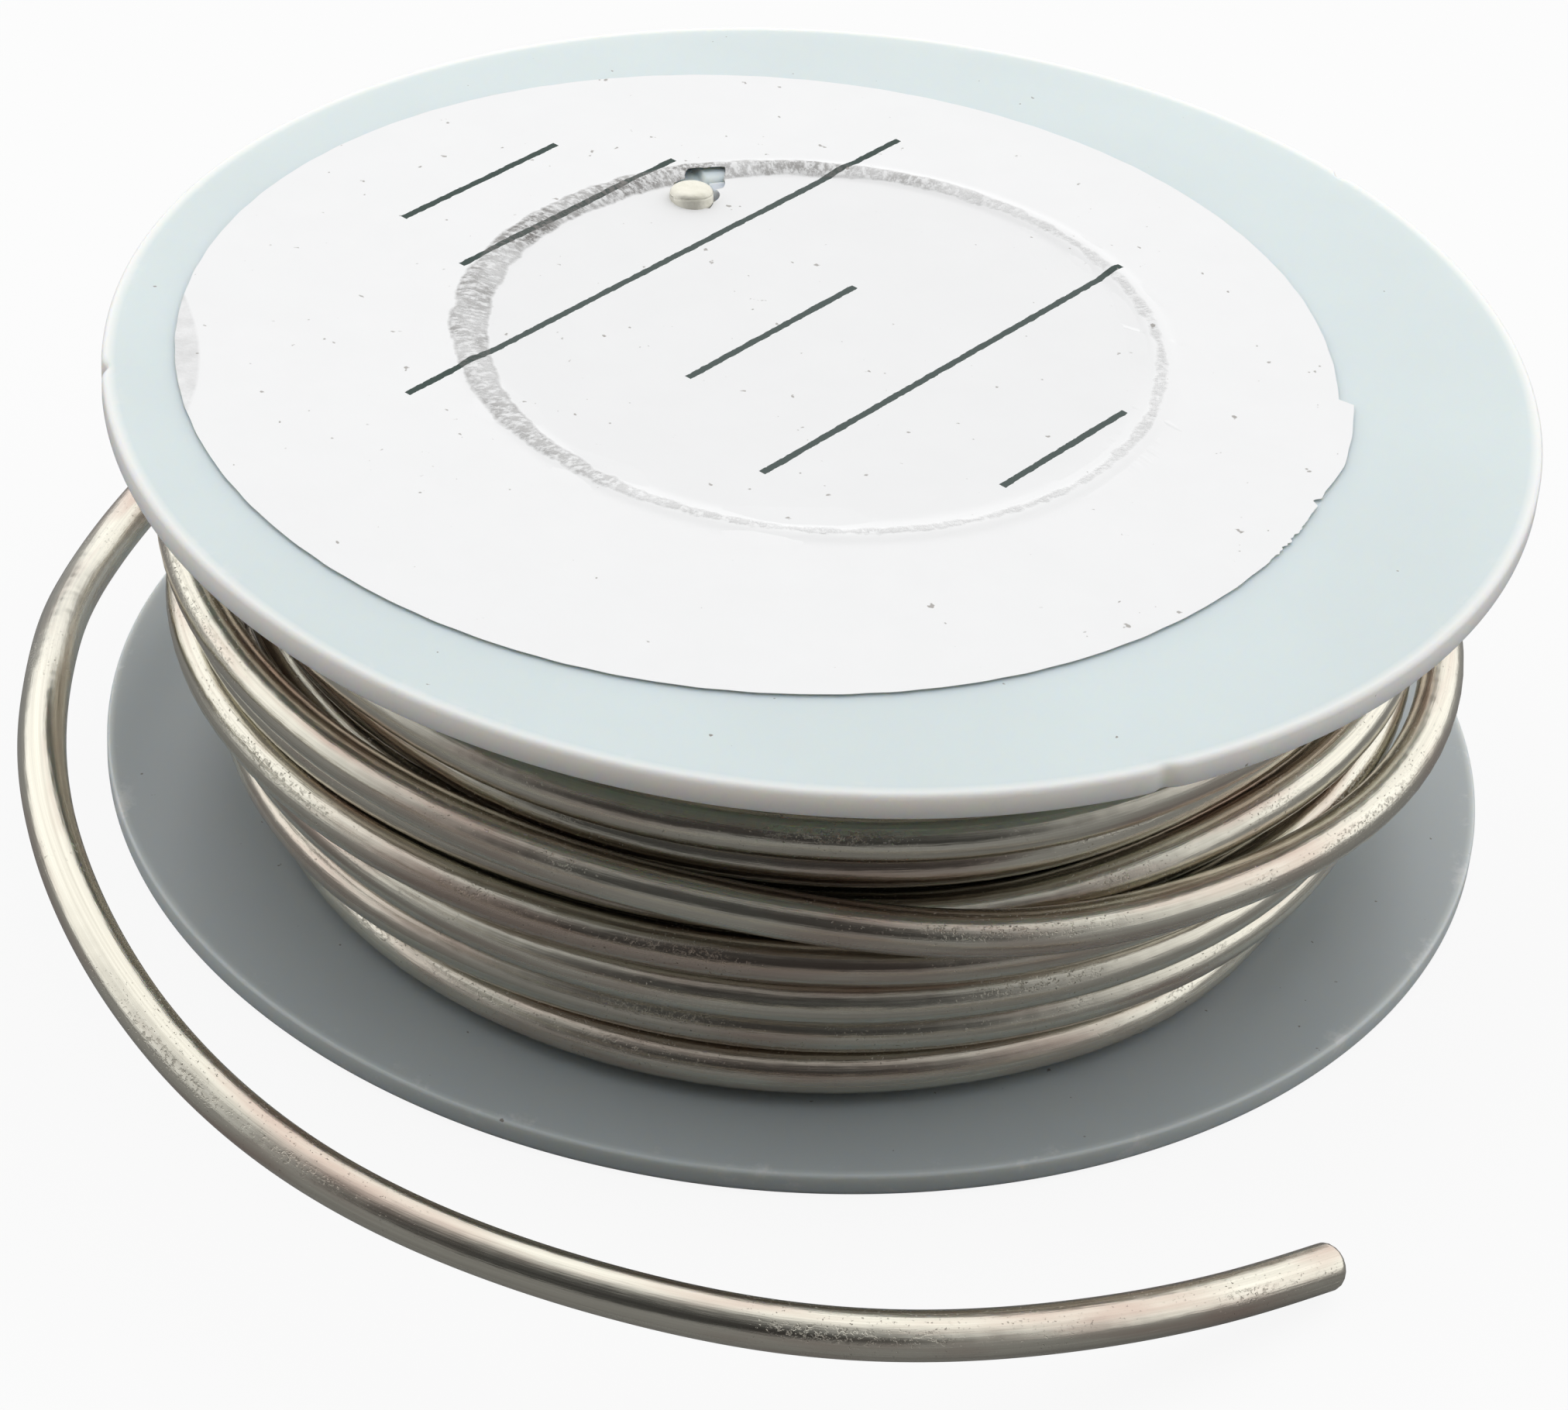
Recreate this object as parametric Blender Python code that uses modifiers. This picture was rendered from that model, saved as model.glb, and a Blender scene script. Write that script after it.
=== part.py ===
"""A small two-flange spool of bare tinned copper wire, with a paper label and a springy free end.

The spool stands on its lower flange. The origin is the centre of that flange's underside and +Z is
the spool's axis. A plain barrel carries two round flanges on its shoulders, the wire is wound on the
barrel, its start comes up through a notch beside the bore and its free end stands out in an open arc.
"""

import math

import bpy
import numpy as np
from mathutils import Matrix

MM = 0.001

# Driving dimensions of the moulded spool.
FLANGE_RADIUS = 25.4 * MM
FLANGE_RIM_THICKNESS = 1.4 * MM
FLANGE_HUB_THICKNESS = 1.6 * MM
RIM_ROUND = 0.5 * MM
SPOOL_HEIGHT = 16.9 * MM
BORE_RADIUS = 12.2 * MM
NECK_RADIUS = 13.0 * MM
BARREL_RADIUS = 13.8 * MM
HUB_TAPER_RADIUS = 17.0 * MM
MOUTH_CHAMFER = 0.3 * MM
NECK_RECESS = 0.2 * MM

# The wire, and how it lies on the spool. Angles are degrees along the wire, and the spool's whole
# turns are 360 of them.
WIRE_DIAMETER = 1.628 * MM
WIRE_RADIUS = WIRE_DIAMETER / 2
LAYER_RADIUS = 21.2 * MM
LOOSE_RADIUS = 23.3 * MM
LAYER_START_ANGLE = -1950
LAYER_END_ANGLE = 60
LOOSE_SEAT_ANGLE = 105
TAIL_LEAVE_ANGLE = 465
POINTS_PER_TURN = 24
LEAST_TURN_GAP = 0.4 * MM

# The paper label, stuck a little off centre over the top of the spool.
LABEL_RADIUS = 20.6 * MM
LABEL_CENTRE = (-2.3 * MM, 0.1 * MM)
LABEL_THICKNESS = 0.2 * MM

# The notch where the wire starts, and the torn hole that the start shows through.
START_ANGLE = math.radians(117)
START_NOTCH_WIDTH = 2.2 * MM
START_NOTCH_RADIUS = 15.2 * MM
START_HEIGHT = 13.9 * MM
START_BEND = 1.0 * MM
START_TOP = 17.3 * MM
TEAR_CENTRE_RADIUS = 12.0 * MM
TEAR_HALF_LENGTH = 2.0 * MM
TEAR_HALF_WIDTH = 1.35 * MM

# Faceted pieces that touch keep this gap, and the label's paper a thinner one.
SEAT_GAP = 0.3 * MM
LABEL_GAP = 0.2 * MM

# How finely the round shapes are cut.
FLANGE_STEPS = 96
BARREL_STEPS = 72
CORE_STEPS = 64
MERGE = 0.00001

# Heights of the loose last turn, as degrees along the wire and millimetres above the table. It comes
# down behind, lies over the turns below at the left, and drops across them at the front.
LOOSE_TURN = [(60, 14.386), (75, 14.386), (90, 14.3), (120, 13.3), (150, 12.0), (180, 11.1), (210, 10.8),
              (240, 10.4), (270, 9.85), (300, 8.55), (330, 7.8), (360, 7.3), (405, 6.4), (450, 5.7),
              (465, 5.4)]

# The free end's route in millimetres. It springs out of the winding behind, rises round the left
# side, crosses the front and comes down until its cut tip rests on the table.
TAIL_ROUTE = [(-13.7, 19.6, 5.1), (-20.3, 14.2, 5.0), (-24.2, 8.8, 5.0), (-25.7, 4.4, 5.2),
              (-26.1, -1.3, 6.0), (-26.1, -6.6, 7.6), (-25.7, -11.8, 9.0), (-24.8, -17.8, 9.9),
              (-23.4, -22.9, 9.7), (-19.4, -29.3, 8.3), (-13.9, -33.9, 7.1), (-8.8, -36.1, 6.4),
              (-4.0, -37.1, 5.8), (0.8, -37.2, 5.1), (5.6, -36.1, 4.2), (10.5, -33.8, 3.1),
              (15.7, -30.2, 1.7), (18.9, -27.5, 0.85)]
TAIL_POINT_SPACING = 2.4 * WIRE_DIAMETER


def clear_scene():
    """Remove every object that the file opened with."""
    for thing in list(bpy.data.objects):
        bpy.data.objects.remove(thing, do_unlink=True)


def new_collection(name):
    """A collection linked to the scene."""
    group = bpy.data.collections.new(name)
    bpy.context.scene.collection.children.link(group)
    return group


def material(name, colour, roughness, metallic=0.0):
    """A Principled material of one colour."""
    made = bpy.data.materials.new(name)
    made.use_nodes = True
    shader = made.node_tree.nodes["Principled BSDF"]
    shader.inputs["Base Color"].default_value = (*colour, 1.0)
    shader.inputs["Roughness"].default_value = roughness
    shader.inputs["Metallic"].default_value = metallic
    return made


def turned(name, profile, steps, group, look):
    """Turn a closed half section, listed down its outer side first, once round the Z axis."""
    mesh = bpy.data.meshes.new(name)
    corners = [(radius, 0.0, height) for radius, height in profile]
    edges = [(i, (i + 1) % len(corners)) for i in range(len(corners))]
    mesh.from_pydata(corners, edges, [])
    piece = bpy.data.objects.new(name, mesh)
    group.objects.link(piece)
    mesh.materials.append(look)
    screw = piece.modifiers.new("Turn", "SCREW")
    screw.angle = math.tau
    screw.steps = steps
    screw.render_steps = steps
    screw.use_merge_vertices = True
    screw.merge_threshold = MERGE
    screw.use_smooth_shade = True
    return piece


def quarter_round(centre, radius, start_angle, segments=3):
    """Points of a rounded corner, turning clockwise through a right angle."""
    points = []
    for i in range(segments + 1):
        angle = start_angle - math.pi / 2 * i / segments
        points.append((centre[0] + radius * math.cos(angle), centre[1] + radius * math.sin(angle)))
    return points


def flange_profile(outer_face, inner_face_side):
    """Half section of a flange whose outer face is flat and whose inner face thins towards the rim.

    inner_face_side is -1 where the wire lies below the flange and +1 where it lies above.
    """
    hole = NECK_RADIUS + SEAT_GAP
    rim_centre = FLANGE_RADIUS - RIM_ROUND
    rim_inner_face = outer_face + inner_face_side * FLANGE_RIM_THICKNESS
    hub_inner_face = outer_face + inner_face_side * FLANGE_HUB_THICKNESS
    top = max(outer_face, rim_inner_face)
    bottom = min(outer_face, rim_inner_face)
    upper_corner = quarter_round((rim_centre, top - RIM_ROUND), RIM_ROUND, math.pi / 2)
    lower_corner = quarter_round((rim_centre, bottom + RIM_ROUND), RIM_ROUND, 0.0)
    outer_mouth = [(hole + MOUTH_CHAMFER, outer_face),
                   (hole, outer_face + inner_face_side * MOUTH_CHAMFER)]
    inner_hub = [(hole, hub_inner_face), (HUB_TAPER_RADIUS - 1.5 * MM, hub_inner_face),
                 (HUB_TAPER_RADIUS, rim_inner_face)]
    if inner_face_side < 0:
        return upper_corner + lower_corner + inner_hub[::-1] + outer_mouth[::-1]
    return inner_hub[::-1][:1] + upper_corner + lower_corner + outer_mouth + inner_hub[:2]


def barrel_profile():
    """Half section of the barrel: a tube with a neck at each end that a flange seats on."""
    low_shoulder = FLANGE_HUB_THICKNESS + SEAT_GAP
    high_shoulder = SPOOL_HEIGHT - FLANGE_HUB_THICKNESS - SEAT_GAP
    top = SPOOL_HEIGHT
    bottom = NECK_RECESS
    return [(BORE_RADIUS + MOUTH_CHAMFER, top), (NECK_RADIUS, top),
            (NECK_RADIUS, high_shoulder), (BARREL_RADIUS, high_shoulder),
            (BARREL_RADIUS, low_shoulder), (NECK_RADIUS, low_shoulder),
            (NECK_RADIUS, bottom), (BORE_RADIUS + MOUTH_CHAMFER, bottom),
            (BORE_RADIUS, bottom + MOUTH_CHAMFER), (BORE_RADIUS, top - MOUTH_CHAMFER)]


def core_profile():
    """Half section of the inner layers of wire, taken as one plain drum on the barrel."""
    chord_sag = LAYER_RADIUS * (1 - math.cos(math.pi / POINTS_PER_TURN))
    outer = LAYER_RADIUS - chord_sag - WIRE_RADIUS - SEAT_GAP
    inner = BARREL_RADIUS + SEAT_GAP
    low = FLANGE_HUB_THICKNESS + SEAT_GAP
    high = SPOOL_HEIGHT - low
    corner = WIRE_RADIUS / 2
    return [(inner, high), (outer - corner, high), (outer, high - corner),
            (outer, low + corner), (outer - corner, low), (inner, low)]


def cutter_box(name, near, far, width, low, high, group):
    """A box that reaches outwards from the axis along the start notch's direction."""
    bpy.ops.mesh.primitive_cube_add(size=1.0)
    box = bpy.context.object
    box.name = name
    for other in list(box.users_collection):
        other.objects.unlink(box)
    group.objects.link(box)
    size = Matrix.Diagonal((far - near, width, high - low, 1.0))
    place = Matrix.Translation(((near + far) / 2, 0.0, (low + high) / 2))
    box.data.transform(place @ size)
    box.rotation_euler = (0.0, 0.0, START_ANGLE)
    box.hide_render = True
    box.display_type = "WIRE"
    return box


def cut(piece, cutter):
    """Take the cutter out of the piece."""
    trim = piece.modifiers.new("Notch", "BOOLEAN")
    trim.operation = "DIFFERENCE"
    trim.object = cutter


def wire_tube(name, points, sides_level, group, look):
    """A round wire of the real diameter along the points, with closed ends."""
    curve = bpy.data.curves.new(name, "CURVE")
    curve.dimensions = "3D"
    curve.bevel_depth = WIRE_RADIUS
    curve.bevel_resolution = sides_level
    curve.use_fill_caps = True
    line = curve.splines.new("POLY")
    line.points.add(len(points) - 1)
    for point, place in zip(line.points, points):
        point.co = (*place, 1.0)
    line.use_smooth = True
    curve.materials.append(look)
    tube = bpy.data.objects.new(name, curve)
    group.objects.link(tube)
    return tube


def eased(share):
    """A smooth step from 0 to 1."""
    share = min(max(share, 0.0), 1.0)
    return share * share * (3 - 2 * share)


def on_spool(angle, radius, height):
    """The point at an angle in degrees, a radius and a height."""
    turn = math.radians(angle)
    return (radius * math.cos(turn), radius * math.sin(turn), height)


def layer_heights():
    """The lowest and the highest centre line that the outer layer may have between the flanges."""
    low = FLANGE_RIM_THICKNESS + SEAT_GAP + WIRE_RADIUS
    return low, SPOOL_HEIGHT - low


def winding_points():
    """The outer layer, wound upwards, and the loose last turn over it, as one unbroken line."""
    low, high = layer_heights()
    step = 360 // POINTS_PER_TURN
    loose_angles = [angle for angle, height in LOOSE_TURN]
    loose_heights = [height * MM for angle, height in LOOSE_TURN]
    points = []
    for angle in range(LAYER_START_ANGLE, TAIL_LEAVE_ANGLE + 1, step):
        if angle <= LAYER_END_ANGLE:
            share = (angle - LAYER_START_ANGLE) / (LAYER_END_ANGLE - LAYER_START_ANGLE)
            height = low + (high - low) * share
            radius = LAYER_RADIUS
        else:
            height = float(np.interp(angle, loose_angles, loose_heights))
            climb = (angle - LAYER_END_ANGLE) / (LOOSE_SEAT_ANGLE - LAYER_END_ANGLE)
            radius = LAYER_RADIUS + (LOOSE_RADIUS - LAYER_RADIUS) * eased(climb)
        points.append(on_spool(angle, radius, height))
    return points


def least_gap(points):
    """The least distance between the surfaces of turns that pass each other, from the points."""
    line = np.array(points)
    finer = np.concatenate([line[:-1] + (line[1:] - line[:-1]) * share
                            for share in (0.0, 0.25, 0.5, 0.75)])
    place = np.concatenate([np.arange(len(line) - 1) + share for share in (0.0, 0.25, 0.5, 0.75)])
    apart = np.linalg.norm(finer[:, None] - finer[None], axis=2)
    neighbours = np.abs(place[:, None] - place[None]) < POINTS_PER_TURN / 2
    apart[neighbours] = np.inf
    return apart.min() - WIRE_DIAMETER


def smooth_route(route, spacing):
    """Points at an even spacing on the natural cubic spline through the route."""
    knots = np.array(route)
    reach = np.linalg.norm(np.diff(knots, axis=0), axis=1)
    where = np.concatenate([[0.0], np.cumsum(reach)])
    count = len(knots)
    system = np.eye(count)
    wanted = np.zeros((count, 3))
    for i in range(1, count - 1):
        before, after = reach[i - 1], reach[i]
        system[i, i - 1:i + 2] = before, 2 * (before + after), after
        wanted[i] = 6 * ((knots[i + 1] - knots[i]) / after - (knots[i] - knots[i - 1]) / before)
    bend = np.linalg.solve(system, wanted)
    total = where[-1]
    points = []
    for s in np.linspace(0.0, total, round(total / spacing) + 1):
        i = min(int(np.searchsorted(where, s, side="right")) - 1, count - 2)
        h = reach[i]
        left, right = (where[i + 1] - s) / h, (s - where[i]) / h
        curl = ((left ** 3 - left) * bend[i] + (right ** 3 - right) * bend[i + 1]) * h * h / 6
        points.append(left * knots[i] + right * knots[i + 1] + curl)
    return points


def tail_points(winding):
    """The free end: straight on from the winding for one diameter, then round its open arc."""
    end = np.array(winding[-1])
    heading = end - np.array(winding[-2])
    heading /= np.linalg.norm(heading)
    start = end + heading * SEAT_GAP
    straight = start + heading * WIRE_DIAMETER
    route = [straight, straight + heading * WIRE_DIAMETER]
    route += [np.array(place) * MM for place in TAIL_ROUTE]
    return [start] + smooth_route(route, TAIL_POINT_SPACING)


def start_points():
    """The wire's start: out of the core through the barrel's notch, then up inside the bore."""
    outward = np.array([math.cos(START_ANGLE), math.sin(START_ANGLE), 0.0])
    up = np.array([0.0, 0.0, 1.0])
    entry = BARREL_RADIUS
    corner = entry - WIRE_DIAMETER
    points = [outward * entry + up * START_HEIGHT, outward * corner + up * START_HEIGHT]
    for i in range(1, 6):
        angle = math.pi / 2 * i / 5
        inwards = corner - START_BEND * math.sin(angle)
        points.append(outward * inwards + up * (START_HEIGHT + START_BEND * (1 - math.cos(angle))))
    points.append(outward * (corner - START_BEND) + up * START_TOP)
    return points


def label_outline(count=96):
    """The paper's round edge, with a shallow torn stretch at the right."""
    points = []
    for i in range(count):
        angle = math.tau * i / count
        from_tear = (angle + math.radians(22) + math.pi) % math.tau - math.pi
        depth = 0.45 * MM * math.exp(-(from_tear / math.radians(13)) ** 2)
        ragged = depth * (1.0 + 0.6 * math.sin(23 * angle))
        radius = LABEL_RADIUS - ragged
        points.append((LABEL_CENTRE[0] + radius * math.cos(angle),
                       LABEL_CENTRE[1] + radius * math.sin(angle)))
    return points


def tear_outline(count=20):
    """The torn hole in the paper over the start notch, longer along the radius."""
    points = []
    for i in range(count):
        angle = math.tau * i / count
        ragged = 1.0 + 0.05 * math.sin(3 * angle) + 0.04 * math.sin(7 * angle + 1.0)
        along = TEAR_CENTRE_RADIUS + TEAR_HALF_LENGTH * ragged * math.cos(angle)
        across = TEAR_HALF_WIDTH * ragged * math.sin(angle)
        points.append((along * math.cos(START_ANGLE) - across * math.sin(START_ANGLE),
                       along * math.sin(START_ANGLE) + across * math.cos(START_ANGLE)))
    return points


def paper_label(group, look):
    """A thin sheet from its outline and its torn hole."""
    curve = bpy.data.curves.new("paper_label", "CURVE")
    curve.dimensions = "2D"
    curve.fill_mode = "BOTH"
    curve.extrude = LABEL_THICKNESS / 2
    for outline in (label_outline(), tear_outline()):
        edge = curve.splines.new("POLY")
        edge.points.add(len(outline) - 1)
        for point, place in zip(edge.points, outline):
            point.co = (*place, 0.0, 1.0)
        edge.use_cyclic_u = True
    curve.materials.append(look)
    label = bpy.data.objects.new("paper_label", curve)
    label.location.z = SPOOL_HEIGHT + LABEL_GAP + LABEL_THICKNESS / 2
    group.objects.link(label)
    return label


def moulded_spool(parts, cutters):
    """The barrel and the two flanges, with the start notch cut through the top ones."""
    barrel = turned("barrel", barrel_profile(), BARREL_STEPS, parts,
                    material("barrel_plastic", (0.74, 0.77, 0.78), 0.45))
    turned("lower_flange", flange_profile(0.0, 1), FLANGE_STEPS, parts,
           material("lower_flange_plastic", (0.72, 0.75, 0.77), 0.42))
    upper = turned("upper_flange", flange_profile(SPOOL_HEIGHT, -1), FLANGE_STEPS, parts,
                   material("upper_flange_plastic", (0.80, 0.82, 0.82), 0.42))
    barrel_notch = cutter_box("barrel_notch", BORE_RADIUS - MM, BARREL_RADIUS + MM,
                              START_NOTCH_WIDTH, START_HEIGHT - WIRE_RADIUS - 0.2 * MM,
                              SPOOL_HEIGHT + MM, cutters)
    flange_notch = cutter_box("flange_notch", NECK_RADIUS - MM, START_NOTCH_RADIUS,
                              START_NOTCH_WIDTH, SPOOL_HEIGHT - 2 * FLANGE_HUB_THICKNESS,
                              SPOOL_HEIGHT + MM, cutters)
    cut(barrel, barrel_notch)
    cut(upper, flange_notch)


def wire(parts):
    """The one length of wire: its start, the inner layers, the outer layer and the free end."""
    satin = ((0.60, 0.57, 0.54), 0.33, 1.0)
    turned("winding_core", core_profile(), CORE_STEPS, parts, material("core_wire", *satin))
    winding = winding_points()
    gap = least_gap(winding)
    print(f"winding_outer: {len(winding)} points, least gap to itself {gap / MM:.3f} mm")
    if gap <= LEAST_TURN_GAP:
        raise ValueError("the turns of the outer layer pass too close to each other")
    wire_tube("winding_outer", winding, 1, parts, material("winding_wire", *satin))
    wire_tube("wire_start", start_points(), 2, parts, material("start_wire", *satin))
    tail = tail_points(winding)
    run = sum(np.linalg.norm(np.array(b) - np.array(a)) for a, b in zip(tail, tail[1:]))
    print(f"wire_tail: {len(tail)} points, {run / MM:.1f} mm long")
    wire_tube("wire_tail", tail, 2, parts, material("tail_wire", *satin))


def main():
    clear_scene()
    parts = new_collection("wire_spool")
    cutters = new_collection("cutters")
    moulded_spool(parts, cutters)
    wire(parts)
    paper_label(parts, material("label_paper", (0.86, 0.87, 0.85), 0.8))


main()
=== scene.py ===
# %% [markdown]
# # A small spool of tinned copper wire
#
# The CAD frame holds this spool at its real size: two milky plastic flanges on a barrel, a round
# paper label, and one length of stiff bright wire with a springy free end. This script dresses that
# frame for a picture. Every cell makes one piece or one finish, and says how and why.
#
# Opening the frame comes first. No piece that is made here may make the object larger.

import math

import bmesh
import bpy
import numpy as np
from mathutils import Matrix


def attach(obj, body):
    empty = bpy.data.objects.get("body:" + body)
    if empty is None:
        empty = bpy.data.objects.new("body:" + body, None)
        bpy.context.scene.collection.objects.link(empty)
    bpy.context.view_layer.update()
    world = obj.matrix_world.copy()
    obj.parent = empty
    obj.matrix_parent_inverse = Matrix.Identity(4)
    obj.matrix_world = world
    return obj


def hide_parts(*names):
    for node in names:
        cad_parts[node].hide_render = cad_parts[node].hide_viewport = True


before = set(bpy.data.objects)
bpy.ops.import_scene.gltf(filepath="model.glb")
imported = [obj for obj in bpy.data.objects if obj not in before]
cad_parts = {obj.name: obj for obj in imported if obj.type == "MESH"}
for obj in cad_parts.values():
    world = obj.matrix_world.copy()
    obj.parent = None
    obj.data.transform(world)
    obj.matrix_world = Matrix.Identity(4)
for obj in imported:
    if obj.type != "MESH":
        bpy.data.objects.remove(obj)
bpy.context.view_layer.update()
MM = 0.001

# %% [markdown]
# ## Sizes
#
# A few sizes drive everything else. The wire is 14 gauge, which is 1.628 mm thick, and the flanges
# are 50.8 mm across. Heights are measured up from the table that the spool stands on. All of them
# are in millimetres here, and become metres when a mesh is made.

# %% Sizes, in millimetres
WIRE = 1.628
FLANGE_RADIUS = 25.4
RIM_THICKNESS = 0.95
PLATE_THICKNESS = 1.4
PLATE_RADIUS = 17.0
HUB_THICKNESS = 1.6
SPOOL_HEIGHT = 16.9
BORE_RADIUS = 12.2
NECK_RADIUS = 13.0
BARREL_RADIUS = 13.8
LABEL_RADIUS = 20.6
LABEL_CENTRE = (-2.3, 0.1)
START_ANGLE = math.radians(117)
NOTCH_HALF_WIDTH = 1.1
NOTCH_RADIUS = 15.2
NOTCH_DEPTH = 0.3
print(f"{2 * FLANGE_RADIUS} mm across, {SPOOL_HEIGHT} mm high, wire {WIRE} mm")

# %% [markdown]
# ## The camera
#
# The photograph looks down at the spool at about 36 degrees from close by, with a slight roll. A
# camera is an object whose local Z axis points backwards, out of the picture, so its matrix is
# filled with three axes and a position. A long lens on a wide sensor gives the narrow view.

# %% The camera
CAMERA_PLACE = (-0.466, -147.593, 107.305)
CAMERA_ELEVATION = math.radians(35.560)
CAMERA_ROLL = math.radians(4.762)
SENSOR_WIDTH = 36.0
FOCAL_IN_PICTURE_WIDTHS = 6299.9 / 2024

right = np.array([1.0, 0.0, 0.0])
up = np.array([0.0, math.sin(CAMERA_ELEVATION), math.cos(CAMERA_ELEVATION)])
back = np.array([0.0, -math.cos(CAMERA_ELEVATION), math.sin(CAMERA_ELEVATION)])
rolled_right = math.cos(CAMERA_ROLL) * right + math.sin(CAMERA_ROLL) * up
rolled_up = math.cos(CAMERA_ROLL) * up - math.sin(CAMERA_ROLL) * right
lens = bpy.data.cameras.new("camera")
lens.sensor_width = SENSOR_WIDTH
lens.sensor_fit = "HORIZONTAL"
lens.lens = SENSOR_WIDTH * FOCAL_IN_PICTURE_WIDTHS
lens.clip_start = 0.01
camera = bpy.data.objects.new("camera", lens)
bpy.context.scene.collection.objects.link(camera)
turned_axes = np.column_stack([rolled_right, rolled_up, back])
camera.matrix_world = (Matrix.Translation(np.array(CAMERA_PLACE) * MM)
                       @ Matrix(turned_axes.tolist()).to_4x4())
bpy.context.scene.camera = camera
print(f"lens {lens.lens:.1f} mm")

# %% [markdown]
# ## A helper that turns a grid of points into a mesh
#
# Most pieces of this spool are surfaces of two parameters: round the axis and along a profile, or
# round a wire and along its path. Numpy works out all their points at once as an array of rows and
# columns, and this helper hands them to Blender and joins each point to its neighbours. Points that
# fall together, such as the middle of a wire's cut end, are merged, so that the surface is closed.

# %% Grid to mesh
MERGE = 1e-8


def surface(name, grid, look, pattern=None, close_rows=False):
    """A mesh on a grid of points in millimetres, whose columns run round and close on themselves.

    The face at row i and column j joins the points (i, j), (i, j+1), (i+1, j+1) and (i+1, j).
    With close_rows the last row joins the first as well. pattern is a vector for each point, kept
    as an attribute that a material reads where its pattern follows the surface.
    """
    rows, columns = grid.shape[:2]
    number = np.arange(rows * columns).reshape(rows, columns)
    number = np.hstack([number, number[:, :1]])
    if close_rows:
        number = np.vstack([number, number[:1]])
    quads = np.stack([number[:-1, :-1], number[:-1, 1:], number[1:, 1:], number[1:, :-1]], axis=-1)
    mesh = bpy.data.meshes.new(name)
    mesh.from_pydata((grid.reshape(-1, 3) * MM).tolist(), [], quads.reshape(-1, 4).tolist())
    if pattern is not None:
        held = mesh.attributes.new("pattern", "FLOAT_VECTOR", "POINT")
        held.data.foreach_set("vector", pattern.reshape(-1).astype(np.float32))
    form = bmesh.new()
    form.from_mesh(mesh)
    bmesh.ops.remove_doubles(form, verts=form.verts, dist=MERGE)
    bmesh.ops.dissolve_degenerate(form, edges=form.edges, dist=MERGE)
    bmesh.ops.recalc_face_normals(form, faces=form.faces)
    form.to_mesh(mesh)
    form.free()
    mesh.shade_smooth()
    mesh.materials.append(look)
    piece = bpy.data.objects.new(name, mesh)
    bpy.context.scene.collection.objects.link(piece)
    print(f"{name}: {len(mesh.polygons)} faces")
    return piece


# %% [markdown]
# ## Points round a middle
#
# Nearly everything on a spool is round, so four small helpers give points on circles, in the plane
# and round the spool's axis, the way from one angle to another, and the length along a path.

# %% Circles and lengths
def around(centre, radius, angle):
    """Points of a plane at radii and angles in radians round a centre: c + r (cos a, sin a)."""
    return np.stack([centre[0] + radius * np.cos(angle), centre[1] + radius * np.sin(angle)], axis=-1)


def on_spool(angle, radius, height):
    """Points at angles in radians, radii and heights: (r cos a, r sin a, z)."""
    angle, radius, height = np.broadcast_arrays(angle, radius, height)
    return np.stack([radius * np.cos(angle), radius * np.sin(angle), height], axis=-1)


def way_from(middle, angle):
    """The shortest way from a middle angle to each angle, from -pi to pi."""
    return (angle - middle + math.pi) % math.tau - math.pi


def run_along(path):
    """The length along a path from its first point to each of its points."""
    return np.concatenate([[0.0], np.cumsum(np.linalg.norm(np.diff(path, axis=0), axis=1))])


# %% [markdown]
# ## Smooth lines through a few points
#
# A bent wire has no corners, so its route is a cubic spline through a few points: between two
# points it is a cubic, and slope and bend run on through every point. Solving one small set of
# equations gives the bend at each point, and numpy then evaluates the whole line at once.

# %% A natural cubic spline
def spline(where, values, at):
    """Values at the places `at` on the natural cubic spline through the values at `where`."""
    where, values, at = (np.asarray(each, float) for each in (where, values, at))
    reach = np.diff(where)
    count = len(where)
    system = np.eye(count)
    wanted = np.zeros((count,) + values.shape[1:])
    slope = (np.diff(values, axis=0).T / reach).T
    for i in range(1, count - 1):
        system[i, i - 1:i + 2] = reach[i - 1], 2 * (reach[i - 1] + reach[i]), reach[i]
        wanted[i] = 6 * (slope[i] - slope[i - 1])
    bend = np.linalg.solve(system, wanted)
    i = np.clip(np.searchsorted(where, at, side="right") - 1, 0, count - 2)
    span = reach[i]
    left, right_share = (where[i + 1] - at) / span, (at - where[i]) / span
    if values.ndim > 1:
        span, left, right_share = span[:, None], left[:, None], right_share[:, None]
    curl = ((left ** 3 - left) * bend[i] + (right_share ** 3 - right_share) * bend[i + 1])
    return left * values[i] + right_share * values[i + 1] + curl * span ** 2 / 6


# %% [markdown]
# ## A helper that builds materials
#
# A material is a small network of nodes. This builder keeps one readable line per node: it adds the
# node, sets its sockets from values or from other nodes' outputs, and hands it back.

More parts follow.
